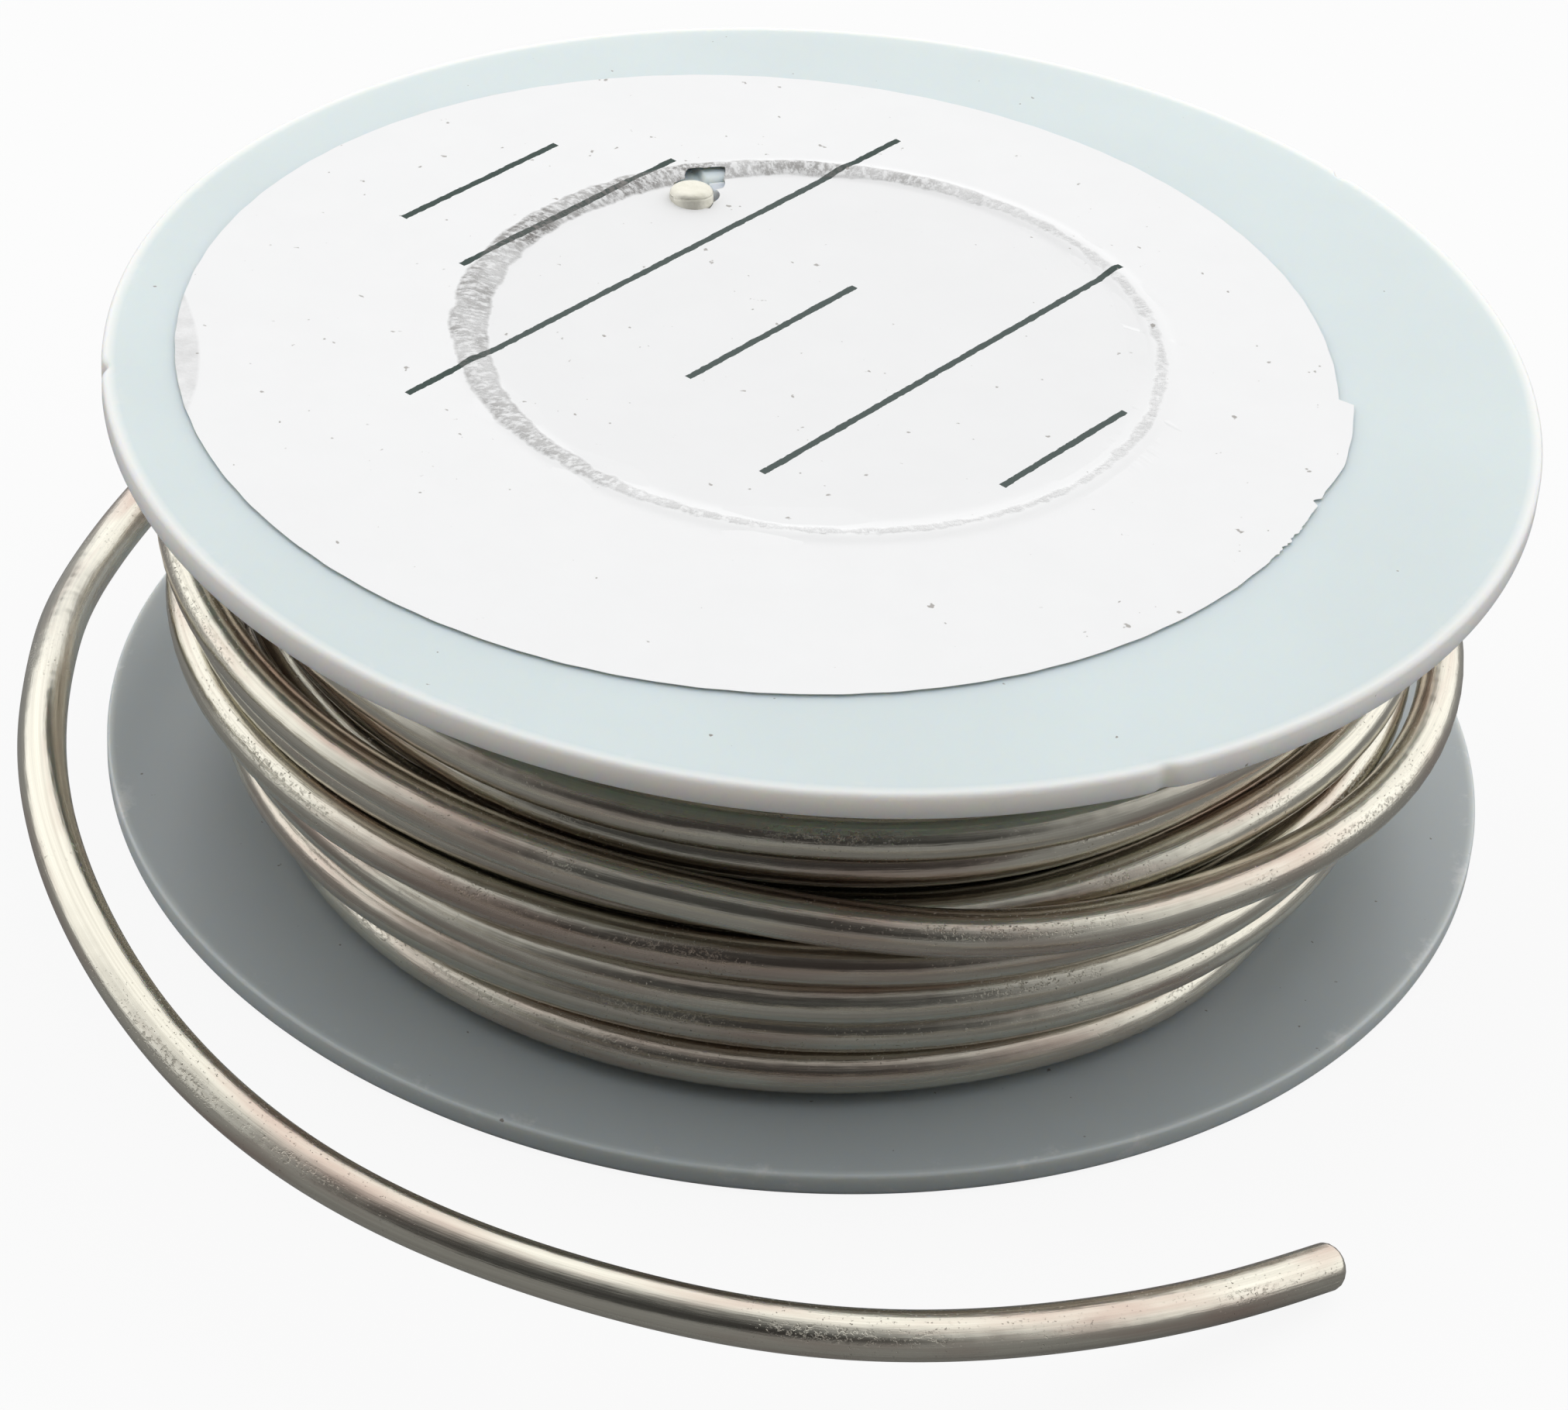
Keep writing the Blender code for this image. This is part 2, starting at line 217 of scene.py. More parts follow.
# %% Node builder
class Finish:
    """A Principled material whose nodes are added one line at a time."""

    def __init__(self, name, **settings):
        self.material = bpy.data.materials.new(name)
        self.material.use_nodes = True
        self.tree = self.material.node_tree
        self.shader = self.tree.nodes["Principled BSDF"]
        self.set(self.shader, settings)

    @classmethod
    def around(cls, tree):
        """The same helper round a tree that is there already."""
        made = cls.__new__(cls)
        made.tree = tree
        return made

    def set(self, node, settings):
        """Give each named socket a value, or link an output to it. _ stands for a space."""
        for name, value in settings.items():
            socket = node.inputs[int(name[1:]) if name[1:].isdigit() else name.replace("_", " ")]
            if isinstance(value, bpy.types.NodeSocket):
                self.tree.links.new(value, socket)
            else:
                socket.default_value = value

    def add(self, kind, modes=None, **settings):
        """A node of that kind, with its modes and its sockets set."""
        node = self.tree.nodes.new("ShaderNode" + kind)
        for name, value in (modes or {}).items():
            setattr(node, name, value)
        self.set(node, settings)
        return node

    def noise(self, vector, scale, detail=2.0, roughness=0.5):
        """Smooth noise from 0 to 1."""
        return self.add("TexNoise", Vector=vector, Scale=scale, Detail=detail,
                        Roughness=roughness).outputs["Fac"]

    def span(self, value, low, high, to_low=0.0, to_high=1.0):
        """The value taken from low..high to to_low..to_high and held inside."""
        return self.add("MapRange", Value=value, From_Min=low, From_Max=high,
                        To_Min=to_low, To_Max=to_high).outputs["Result"]

    def math(self, operation, first, second=0.0, third=0.0):
        """One sum on up to three values."""
        return self.add("Math", {"operation": operation}, _0=first, _1=second, _2=third).outputs[0]

    def times(self, first, second):
        """Two values multiplied."""
        return self.math("MULTIPLY", first, second)

    def vector(self, operation, first, second=(0.0, 0.0, 0.0)):
        """One sum on up to two vectors. Its outputs are named Value, a number, and Vector."""
        return self.add("VectorMath", {"operation": operation}, _0=first, _1=second).outputs

    def mapped(self, vector, scale, location=(0.0, 0.0, 0.0)):
        """A vector scaled along each axis and then moved."""
        return self.add("Mapping", Vector=vector, Scale=scale, Location=location).outputs["Vector"]

    def flat_from(self, place, middle):
        """The place measured from a middle in millimetres, with its height left out."""
        return self.mapped(place, (1.0, 1.0, 0.0), (-middle[0] * MM, -middle[1] * MM, 0.0))

    def mix(self, share, first, second):
        """A colour between two others."""
        return self.add("Mix", {"data_type": "RGBA"}, _0=share, _6=first, _7=second).outputs[2]

    def bump(self, height, strength, distance, under=None):
        """A surface normal that leans as a height map does. The distance is in millimetres."""
        node = self.add("Bump", Height=height, Strength=strength, Distance=distance * MM)
        if under is not None:
            self.set(node, {"Normal": under})
        return node.outputs["Normal"]


def grey(level, warmth=0.0):
    """A neutral colour, a little redder and less blue where warmth is above zero."""
    return (level * (1 + warmth), level, level * (1 - warmth), 1.0)


# %% [markdown]
# ## The finish of the wire
#
# Tinned copper is a metal with a soft, slightly warm shine. Drawing the wire leaves fine streaks
# along it, the tin is thin enough to show some copper through, and handling leaves dark pits and
# small bright scratches. The pattern has to follow the wire round the spool, so it reads an
# attribute that every wire piece carries: the length along the wire, and the sine and cosine of the
# way round it, which have no seam.

# %% Tinned wire
RUBBED_SIDE = (0.0, 0.80, 0.60)
DULL_TIN = (0.54, 0.515, 0.44, 1)
BRIGHT_TIN = (0.75, 0.725, 0.63, 1)
BARE_COPPER = (0.50, 0.39, 0.33, 1)
RUBBED_TIN = (0.86, 0.84, 0.77, 1)
PIT = (0.13, 0.11, 0.085, 1)

# How often each pattern changes: per millimetre along the wire, then across its sine and cosine.
STREAKS = (0.05, 6.0, 6.0)
SCRATCHES = (0.6, 9.0, 9.0)
PATCHES = (0.12, 0.7, 0.7)
SPECKS = (1.0, 1.1, 1.1)
COMBED = (5.0, 5.0, 5.0)


def tinned_wire():
    """Metal with long streaks, copper showing in patches, pits, and a rubbed line on its crest."""
    made = Finish("tinned_wire", Metallic=1.0)
    along = made.add("Attribute", {"attribute_name": "pattern"}).outputs["Vector"]
    specks = made.mapped(along, SPECKS)
    streak = made.noise(made.mapped(along, STREAKS), 1.0, 4.0, 0.6)
    scratch = made.noise(made.mapped(along, SCRATCHES), 1.0, 3.0, 0.6)
    patch = made.noise(made.mapped(along, PATCHES), 1.0, 3.0)
    comb = made.noise(made.mapped(along, COMBED), 1.0, 3.0, 0.7)
    wobble = made.noise(specks, 0.5, 2.0)
    area = made.noise(specks, 0.13, 3.0)
    pitted = made.times(made.span(made.noise(specks, 7.5, 3.0, 0.6), 0.64, 0.70),
                        made.span(area, 0.46, 0.60))
    crest = made.span(made.vector("DOT_PRODUCT", along, RUBBED_SIDE)["Value"], 0.94, 0.985)
    rubbed = made.times(crest, made.span(area, 0.53, 0.62))
    nick = made.times(rubbed, made.span(comb, 0.54, 0.60))
    dark = made.math("MAXIMUM", made.times(pitted, 0.7), made.times(nick, 0.4))
    colour = made.mix(made.span(streak, 0.3, 0.7), DULL_TIN, BRIGHT_TIN)
    colour = made.mix(made.times(made.span(patch, 0.46, 0.66), 0.8), colour, BARE_COPPER)
    colour = made.mix(made.times(rubbed, made.span(comb, 0.50, 0.40, 0.0, 0.2)), colour, RUBBED_TIN)
    colour = made.mix(dark, colour, PIT)
    rough = made.math("MULTIPLY_ADD", dark, 0.3, made.span(streak, 0.3, 0.7, 0.17, 0.30))
    lean = made.bump(wobble, 0.5, 0.10)
    lean = made.bump(scratch, 0.16, 0.04, lean)
    lean = made.bump(streak, 0.16, 0.04, lean)
    lean = made.bump(made.math("SUBTRACT", 1.0, dark), 0.6, 0.05, lean)
    made.set(made.shader, {"Base Color": colour, "Roughness": rough, "Normal": lean})
    return made.material


WIRE_FINISH = tinned_wire()

# %% [markdown]
# ## The wire as a tube
#
# Every stretch of the wire is the same surface: a circle of the wire's radius carried along a path.
# At each path point one direction across the wire is square to the path and to a fixed reference
# direction, and the second is square to both. A cut end has a narrow rounded edge, then a flat face.

# %% Wire tube
WIRE_SIDES = 20
EDGE_RINGS = 5
CUT_EDGE = 0.12
JOINED_EDGE = 0.01


def wire_end(edge):
    """Rings of an end whose edge has that radius, from the full wire inwards over its face.

    They are how far each ring is set back from the end, and its radius: a quarter circle, one ring
    half way in, and the middle.
    """
    turn = np.linspace(0.0, math.pi / 2, EDGE_RINGS)
    set_back = edge * (1 - np.sin(turn))
    radius = WIRE / 2 - edge * (1 - np.cos(turn))
    return np.append(set_back, [0.0, 0.0]), np.append(radius, [radius[-1] / 2, 0.0])


def wire_tube(name, path, reference=(0.0, 0.0, 1.0), first_length=0.0, edges=(CUT_EDGE, CUT_EDGE),
              look=WIRE_FINISH):
    """A wire along a path in millimetres.

    Point (i, j) is path[i] + r (cos a side[i] + sin a above[i]) with a = 2 pi j / sides. r is the
    wire's radius, and shrinks to nothing through the rings of the two ends. edges are the radii of
    their rounded edges, first and last.
    """
    path = np.asarray(path, float)
    tangent = np.gradient(path, axis=0)
    tangent /= np.linalg.norm(tangent, axis=1, keepdims=True)
    (first_back, first_rings), (last_back, last_rings) = map(wire_end, edges)
    first = path[0] + first_back[::-1, None] * tangent[0]
    last = path[-1] - last_back[:, None] * tangent[-1]
    rings = np.concatenate([first_rings[::-1], np.full(len(path) - 2, WIRE / 2), last_rings])
    path = np.vstack([first, path[1:-1], last])
    tangent = np.vstack([np.repeat(tangent[:1], len(first), 0), tangent[1:-1],
                         np.repeat(tangent[-1:], len(last), 0)])
    side = np.cross(tangent, reference)
    side /= np.linalg.norm(side, axis=1, keepdims=True)
    above = np.cross(side, tangent)
    turn = np.linspace(0.0, math.tau, WIRE_SIDES, endpoint=False)
    cosine, sine = np.cos(turn)[None, :], np.sin(turn)[None, :]
    across = cosine[..., None] * side[:, None] + sine[..., None] * above[:, None]
    grid = path[:, None] + rings[:, None, None] * across
    share = (rings / (WIRE / 2))[:, None]
    length = (run_along(path) + first_length)[:, None]
    pattern = np.stack(np.broadcast_arrays(length, cosine * share, sine * share), axis=-1)
    return surface(name, grid, look, pattern)


# %% [markdown]
# ## The free end
#
# The wire leaves the winding behind the spool and springs out in one open arc round the left and the
# front, until its cut tip rests on the table. It is a stiff cord, 108 mm long, of which the first 27
# mm lie behind the flange, 1.628 mm thick and bare at its tip. Its route is a list of given points,
# with one spline through them.

# %% The free end
LOOSE_RADIUS = 23.3
LOOSE_SEAT = [(450, 5.7), (465, 5.4)]
SEAT_GAP = 0.3
TAIL_SPACING = 0.4
TIP_EDGE = 0.3
TAIL_ROUTE = [(-13.7, 19.6, 5.1), (-20.3, 14.2, 5.0), (-24.0, 8.7, 4.8), (-25.4, 4.3, 5.0),
              (-26.1, -1.3, 6.05), (-26.1, -6.6, 7.6), (-25.7, -11.8, 9.0), (-24.9, -17.8, 9.85),
              (-23.4, -22.9, 9.7), (-19.4, -29.3, 8.3), (-13.9, -33.9, 7.1), (-8.8, -36.1, 6.4),
              (-4.0, -37.1, 5.8), (0.8, -37.2, 5.1), (5.6, -36.1, 4.2), (10.5, -33.8, 3.1),
              (15.7, -30.2, 1.7), (18.9, -27.5, 0.85)]


def tail_path(spacing):
    """Points along the free end: straight on from the winding, then on the spline."""
    before, end = (on_spool(np.radians(angle), LOOSE_RADIUS, height) for angle, height in LOOSE_SEAT)
    heading = (end - before) / np.linalg.norm(end - before)
    start = end + SEAT_GAP * heading
    route = np.array([start + WIRE * heading, start + 2 * WIRE * heading, *TAIL_ROUTE])
    where = run_along(route)
    count = round(where[-1] / spacing) + 1
    return np.vstack([start, spline(where, route, np.linspace(0.0, where[-1], count))])


TAIL_PATH = tail_path(TAIL_SPACING)
free_end = wire_tube("free_end", TAIL_PATH, edges=(JOINED_EDGE, TIP_EDGE))
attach(free_end, "root")
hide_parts("wire_tail")

# %% [markdown]
# ## The winding
#
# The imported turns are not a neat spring. Each turn lies where the one below lets it, some bulge out
# at the left, and the last, loose turn crosses over its neighbours at the front. So the wire's
# height and its distance from the axis are given at a few stations round the front for every turn,
# lowest turn first, and splines carry them on round the back, where each turn climbs to the next.
# Under this outer layer an even inner layer shows through the gaps, and a ribbed drum lies below.

# %% Where the turns lie
STATIONS = (180, 205, 225, 245, 270, 290, 310, 330, 360)
TURN_HEIGHTS = [(2.3, 2.3, 2.3, 2.3, 2.3, 2.3, 2.3, 2.3, 2.3),
                (3.9, 3.9, 3.9, 3.9, 3.87, 3.9, 3.9, 3.9, 3.9),
                (5.55, 5.55, 5.55, 5.55, 5.55, 5.55, 5.5, 5.5, 5.5),
                (7.2, 7.2, 7.15, 7.1, 7.1, 7.0, 7.1, 7.4, 7.7),
                (9.0, 8.95, 8.85, 8.8, 8.8, 8.75, 9.3, 9.6, 9.7),
                (12.1, 12.1, 11.6, 11.2, 10.8, 10.8, 11.15, 11.6, 11.9),
                (13.7, 13.7, 13.2, 12.65, 12.45, 12.47, 12.8, 13.3, 13.5),
                (14.6, 14.6, 14.5, 14.3, 14.1, 14.2, 14.5, 14.6, 14.6)]
TURN_RADII = [(19.9, 19.9, 20.6, 21.3, 21.6, 21.3, 20.8, 19.9, 19.9),
              (20.5, 20.9, 21.3, 21.3, 21.3, 21.25, 21.15, 20.9, 20.7),
              (20.8, 21.2, 21.5, 21.8, 21.9, 21.75, 21.5, 21.2, 21.0),
              (22.4, 22.4, 22.2, 21.95, 21.8, 21.7, 21.6, 21.5, 21.3),
              (22.2, 22.0, 21.8, 21.5, 21.4, 21.3, 21.35, 21.5, 21.4),
              (20.9, 20.9, 20.9, 21.3, 21.2, 21.1, 20.8, 20.7, 20.8),
              (21.7, 21.9, 21.9, 22.0, 22.0, 22.0, 21.8, 21.8, 21.6),
              (20.3, 20.3, 20.6, 21.0, 21.2, 21.1, 20.6, 20.4, 20.4)]
LOOSE_STATIONS = (60, 90, 120, 150) + STATIONS
LOOSE_HEIGHTS = (14.6, 14.2, 13.3, 12.0, 11.1, 10.85, 10.55, 10.35, 9.85, 8.9, 8.3, 7.8, 7.3)
LOOSE_RADII = (21.4, 22.4, 22.9, 22.9, 22.8, 22.8, 22.8, 22.8, 22.9, 23.0, 22.9, 23.1, 23.2)
LOOSE_END = [(405, 6.4), *LOOSE_SEAT]
INNER_RADIUS = 19.9
INNER_TURNS = 6
INNER_HIGH, INNER_LOW = 14.6, 3.95
SAMPLES_PER_TURN = 120


def winding_path():
    """The path of the inner layer, the outer layer and the loose turn, as one wire."""
    angles = [90 * quarter for quarter in range(1 - 4 * INNER_TURNS, 1)]
    heights = list(np.linspace(INNER_HIGH, INNER_LOW, len(angles)))
    radii = [INNER_RADIUS] * len(angles)
    for turn, (turn_heights, turn_radii) in enumerate(zip(TURN_HEIGHTS, TURN_RADII)):
        angles += [90 + 360 * turn, *(np.array(STATIONS) + 360 * turn)]
        heights += [(heights[-1] + turn_heights[0]) / 2, *turn_heights]
        radii += [(radii[-1] + turn_radii[0]) / 2, *turn_radii]
    last = 360 * len(TURN_HEIGHTS)
    angles += [angle + last for angle in LOOSE_STATIONS]
    heights += LOOSE_HEIGHTS
    radii += LOOSE_RADII
    for angle, height in LOOSE_END:
        angles.append(angle + last)
        heights.append(height)
        radii.append(LOOSE_RADIUS)
    count = round((angles[-1] - angles[0]) / 360 * SAMPLES_PER_TURN) + 1
    at = np.linspace(angles[0], angles[-1], count)
    path = on_spool(np.radians(at), spline(angles, radii, at), spline(angles, heights, at))
    return np.vstack([path, TAIL_PATH[:1]])


WINDING_PATH = winding_path()
WINDING_LENGTH = run_along(WINDING_PATH)[-1]
winding = wire_tube("winding", WINDING_PATH, first_length=-WINDING_LENGTH,
                    edges=(CUT_EDGE, JOINED_EDGE))
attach(winding, "root")
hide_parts("winding_core", "winding_outer")
print(f"winding: {WINDING_LENGTH * MM:.2f} m of wire in sight or just under it")

# %% The ribbed drum of deeper turns
DRUM_RADIUS = 18.75
DRUM_INNER_RADIUS = 14.1
DRUM_LOW, DRUM_HIGH = 1.9, 15.0
DRUM_RIBS = 8
RIB_STEPS = 12
ROUND_192 = np.linspace(0.0, math.tau, 192, endpoint=False)


def drum_section():
    """Closed half section of the deeper turns: half circles one above another, and a plain back."""
    height = np.linspace(DRUM_LOW, DRUM_HIGH, DRUM_RIBS * RIB_STEPS + 1)
    pitch = (DRUM_HIGH - DRUM_LOW) / DRUM_RIBS
    off = ((height - DRUM_LOW) % pitch) / pitch * 2 - 1
    radius = DRUM_RADIUS - WIRE / 2 + WIRE / 2 * np.sqrt(np.clip(1 - off ** 2, 0.0, 1.0))
    outside = np.column_stack([radius, height])
    inside = np.array([(DRUM_INNER_RADIUS, DRUM_HIGH), (DRUM_INNER_RADIUS, DRUM_LOW)])
    return np.vstack([outside, inside])


def turned(section, angles):
    """Points of a section of (radius, height) turned to each angle: rows go along the section."""
    return on_spool(angles, section[:, :1], section[:, 1:])


drum_grid = turned(drum_section(), ROUND_192)
drum_pattern = np.stack(np.broadcast_arrays(ROUND_192 * DRUM_RADIUS, drum_grid[..., 2] / WIRE, 0.0),
                        axis=-1)
drum = surface("deeper_turns", drum_grid, WIRE_FINISH, drum_pattern, close_rows=True)
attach(drum, "root")

# %% [markdown]
# ## The wire's start
#
# The wire begins inside the hub: it comes up through a notch beside the bore and is cut off at the
# label. Its path lies in one upright plane, so the direction square to that plane is the tube's
# reference, which never lines up with the wire.

# %% The wire's start
START_HEIGHT = 13.9
START_BEND = 1.0
START_TOP = 17.3
START_LEAN = 0.9
START_EDGE = 0.25
START_MARKS = 400.0
WALL_POINTS, BEND_POINTS, RISE_POINTS = 5, 16, 12
TORN_DARK, TORN_LIGHT = (0.62, 0.60, 0.50, 1), (0.90, 0.88, 0.80, 1)


def start_path():
    """In through the barrel's wall, a quarter circle upwards, and up to the label.

    On its way up it moves back out into the notch, by START_LEAN (3 t^2 - 2 t^3) at the share t.
    """
    outward = np.array([math.cos(START_ANGLE), math.sin(START_ANGLE), 0.0])
    above = np.array([0.0, 0.0, 1.0])
    corner = BARREL_RADIUS - WIRE
    bend = np.linspace(0.0, math.pi / 2, BEND_POINTS)
    share = np.linspace(0.0, 1.0, RISE_POINTS + 1)[1:]
    reach = np.concatenate([np.linspace(BARREL_RADIUS, corner, WALL_POINTS + 1)[:-1],
                            corner - START_BEND * np.sin(bend),
                            corner - START_BEND + START_LEAN * share ** 2 * (3 - 2 * share)])
    rise = np.concatenate([np.zeros(WALL_POINTS), START_BEND * (1 - np.cos(bend)),
                           np.linspace(START_BEND, START_TOP - START_HEIGHT, RISE_POINTS + 1)[1:]])
    return reach[:, None] * outward + (START_HEIGHT + rise)[:, None] * above


def cut_wire():
    """Metal as a cutter leaves it: pale, rough and finely torn."""
    made = Finish("cut_wire", Metallic=0.6, Roughness=0.55)
    place = made.add("TexCoord").outputs["Object"]
    torn = made.noise(place, 1800.0, 4.0, 0.6)
    made.set(made.shader, {"Base Color": made.mix(torn, TORN_DARK, TORN_LIGHT),
                           "Normal": made.bump(torn, 0.6, 0.10)})
    return made.material


square_to_path = (-math.sin(START_ANGLE), math.cos(START_ANGLE), 0.0)
start = wire_tube("wire_start_end", start_path(), square_to_path, START_MARKS,
                  (CUT_EDGE, START_EDGE), cut_wire())
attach(start, "root")
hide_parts("wire_start")

# %% [markdown]
# ## The finish of the moulded plastic
#
# The flanges are milky natural plastic: light goes in, scatters, and comes out a little further on,
# which softens every edge and makes the thin rim glow warm. Subsurface scattering gives the
# softening,
# with a reach of about a millimetre: longer, and the flange would shine through on the wire below it.
# The rim's warm glow is painted light: the colour turns lighter and warmer towards the rim. The lower
# flange is the same plastic in a darker colour, which is painted shade. The surface is satin with a
# faint unevenness, a few specks and scuffs.

# %% Milky plastic
SCATTER_COLOURS = (1.0, 0.82, 0.62)
SCUFFED_FROM, SCUFFED_TO = 24.6, 25.2
CLOUD_SHADE = 0.965


def milky_plastic(name, colour, rim_glow_colour, rim_glow_start, light_reach):
    """Satin translucent plastic with a painted glow: lighter and warmer at its rim. Light travels
    light_reach in it, in mm.
    """
    made = Finish(name, Roughness=0.36, Subsurface_Weight=1.0, Subsurface_Scale=light_reach * MM,
                  Subsurface_Radius=SCATTER_COLOURS, IOR=1.5)
    place = made.add("TexCoord").outputs["Object"]
    radius = made.vector("LENGTH", made.flat_from(place, (0.0, 0.0)))["Value"]
    # Painted glow: towards the rim the colour turns lighter and warmer.
    rim = made.span(radius, rim_glow_start * MM, FLANGE_RADIUS * MM)
    cloud = made.noise(place, 90.0, 3.0)
    speck = made.span(made.noise(place, 1900.0, 2.0), 0.755, 0.775)
    near_rim = made.span(radius, SCUFFED_FROM * MM, SCUFFED_TO * MM)
    scuff = made.times(near_rim, made.span(made.noise(place, 700.0, 4.0, 0.7), 0.56, 0.66))
    shaded = tuple(CLOUD_SHADE * channel for channel in colour[:3]) + (1,)
    body = made.mix(made.span(cloud, 0.35, 0.65), colour, shaded)
    body = made.mix(rim, body, rim_glow_colour)
    body = made.mix(made.times(scuff, 0.35), body, grey(0.85))
    body = made.mix(made.times(speck, 0.8), body, grey(0.12, 0.2))
    lean = made.bump(made.noise(place, 260.0, 3.0), 0.25, 0.08)
    lean = made.bump(made.noise(place, 2200.0, 3.0), 0.06, 0.04, lean)
    made.set(made.shader, {"Base Color": body, "Normal": lean})
    return made.material


BARREL_WHITE = (0.72, 0.75, 0.78, 1)
# The upper flange's cream rim colour is a painted glow.
UPPER_PLASTIC_PAINTED_GLOW = milky_plastic("upper_flange_plastic", colour=(0.67, 0.75, 0.757, 1),
                              rim_glow_colour=(0.98, 0.965, 0.91, 1), rim_glow_start=24.9, light_reach=1.0)
# Painted shade: the lower flange is the same plastic as the upper one in a darker colour, and its
# lighter rim is a painted glow.
LOWER_PLASTIC_PAINTED_SHADE_AND_GLOW = milky_plastic("lower_flange_plastic", colour=(0.47, 0.515, 0.53, 1),
                              rim_glow_colour=(0.60, 0.655, 0.665, 1), rim_glow_start=25.1, light_reach=0.8)
BARREL_PLASTIC = milky_plastic("barrel_plastic", colour=BARREL_WHITE, rim_glow_colour=BARREL_WHITE,
                               rim_glow_start=24.2, light_reach=2.0)

# %% [markdown]
# ## Flanges and barrel
#
# All three are turned shapes. A flange is flat outside, and on its wound side it thins out from the
# hub to the rim. The rim is an upright wall with a soft edge outside and a crisper one on the wound
# side, which catches the light as a thin line. The real upper flange is slightly warped, which the
# photograph shows in the wave of its rim, and it has three small nicks. A shallow notch beside the
# bore is a ramp for the wire's start.

# %% Flange shapes
HOLE_RADIUS = NECK_RADIUS + 0.05
HOLE_EDGE = 0.3
CRISP_EDGE = 0.12
HUB_RADIUS = 15.5
FLANGE_STEPS = 30
NICKS = [(-170.2, 0.22), (41.1, 0.30), (-62.2, 0.16)]
NICK_WIDTH = 0.012
NICKED_WIDTH = 1.0
WARP_DEPTH = 0.12
WARP_TURN = 0.6
ROUND_720 = np.linspace(0.0, math.tau, 720, endpoint=False)
FROM_NOTCH = way_from(START_ANGLE, ROUND_720)


def arc(centre, radius, first, last, count):
    """Points on a circle from one angle to another, in degrees."""
    return around(centre, radius, np.radians(np.linspace(first, last, count)))


def flange_section(soft):
    """Closed half section of a flange that lies on z = 0 with its wound side up.

    soft is the radius of the rim's outer edge. Its edge on the wound side has CRISP_EDGE.
    """
    hole_edge = HOLE_RADIUS + HOLE_EDGE
    rim = FLANGE_RADIUS - soft
    crisp_rim = FLANGE_RADIUS - CRISP_EDGE
    outside = np.linspace(hole_edge, rim, FLANGE_STEPS)[1:-1]
    wound = np.linspace(crisp_rim, PLATE_RADIUS, FLANGE_STEPS)[1:-1]
    tapered = np.interp(wound, [PLATE_RADIUS, crisp_rim], [PLATE_THICKNESS, RIM_THICKNESS])
    return np.vstack([arc((hole_edge, HOLE_EDGE), HOLE_EDGE, 180, 270, 5),
                      np.column_stack([outside, np.zeros(len(outside))]),
                      arc((rim, soft), soft, -90, 0, 8),
                      arc((crisp_rim, RIM_THICKNESS - CRISP_EDGE), CRISP_EDGE, 0, 90, 6),
                      np.column_stack([wound, tapered]),
                      [(PLATE_RADIUS, PLATE_THICKNESS), (HUB_RADIUS, HUB_THICKNESS),
                       (HOLE_RADIUS, HUB_THICKNESS)]])


def notched(radius, height):
    """Heights with a ramp down into the flange beside its hole, where the wire's start comes up."""
    inside = np.abs(np.sin(FROM_NOTCH)) * radius < NOTCH_HALF_WIDTH
    inside &= np.abs(FROM_NOTCH) < math.pi / 2
    ramp = NOTCH_DEPTH * (NOTCH_RADIUS - radius) / (NOTCH_RADIUS - NECK_RADIUS)
    return np.where(inside, np.maximum(height, ramp), height)


def nicked(radius):
    """Radii with a small dent at each nick: its depth times exp(-(way round / width)^2)."""
    at_rim = radius[:, :1] > FLANGE_RADIUS - NICKED_WIDTH
    for angle, depth in NICKS:
        away = way_from(math.radians(angle), ROUND_720)
        radius = radius - at_rim * depth * np.exp(-(away / NICK_WIDTH) ** 2)
    return radius


def upper_warp(radius, angle):
    """A shallow saddle that grows with the square of the radius."""
    share = (radius / FLANGE_RADIUS) ** 2
    return -WARP_DEPTH * share * (1 - np.cos(2 * angle - WARP_TURN))


def flange(name, node, look, soft):
    """A turned flange in place of a CAD node. The upper one is upside down and has the marks."""
    section = flange_section(soft)
    radius, height = (np.repeat(section[:, axis, None], len(ROUND_720), axis=1) for axis in (0, 1))
    if node == "upper_flange":
        height = SPOOL_HEIGHT - notched(radius, height)
        radius = nicked(radius)
        height = height + upper_warp(radius, ROUND_720)
    piece = surface(name, on_spool(ROUND_720, radius, height), look, close_rows=True)
    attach(piece, "root")
    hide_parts(node)
    return piece


# The lower flange takes the darker plastic, whose colour is painted shade.
flange("flange_below", "lower_flange", LOWER_PLASTIC_PAINTED_SHADE_AND_GLOW, soft=0.3)
flange("flange_above", "upper_flange", UPPER_PLASTIC_PAINTED_GLOW, soft=0.2)

# %% Barrel
SEAT_STEP = 0.1
MOUTH_DROP = 0.12
MOUTH_LOW = 0.2
MOUTH_EDGE = 0.3
NOTCH_CLEARANCE = 0.2
BARREL_SHARP = math.radians(30)


def barrel_section():
    """Closed half section of the barrel: a tube with a neck at each end, clear of the label."""
    top = SPOOL_HEIGHT - MOUTH_DROP
    low = HUB_THICKNESS + SEAT_STEP
    high = SPOOL_HEIGHT - HUB_THICKNESS - SEAT_STEP
    mouth = BORE_RADIUS + MOUTH_EDGE
    return np.array([(mouth, MOUTH_LOW), (NECK_RADIUS, MOUTH_LOW), (NECK_RADIUS, low),
                     (BARREL_RADIUS, low), (BARREL_RADIUS, high), (NECK_RADIUS, high),
                     (NECK_RADIUS, top), (mouth, top), (BORE_RADIUS, top - MOUTH_EDGE),
                     (BORE_RADIUS, MOUTH_LOW + MOUTH_EDGE)])


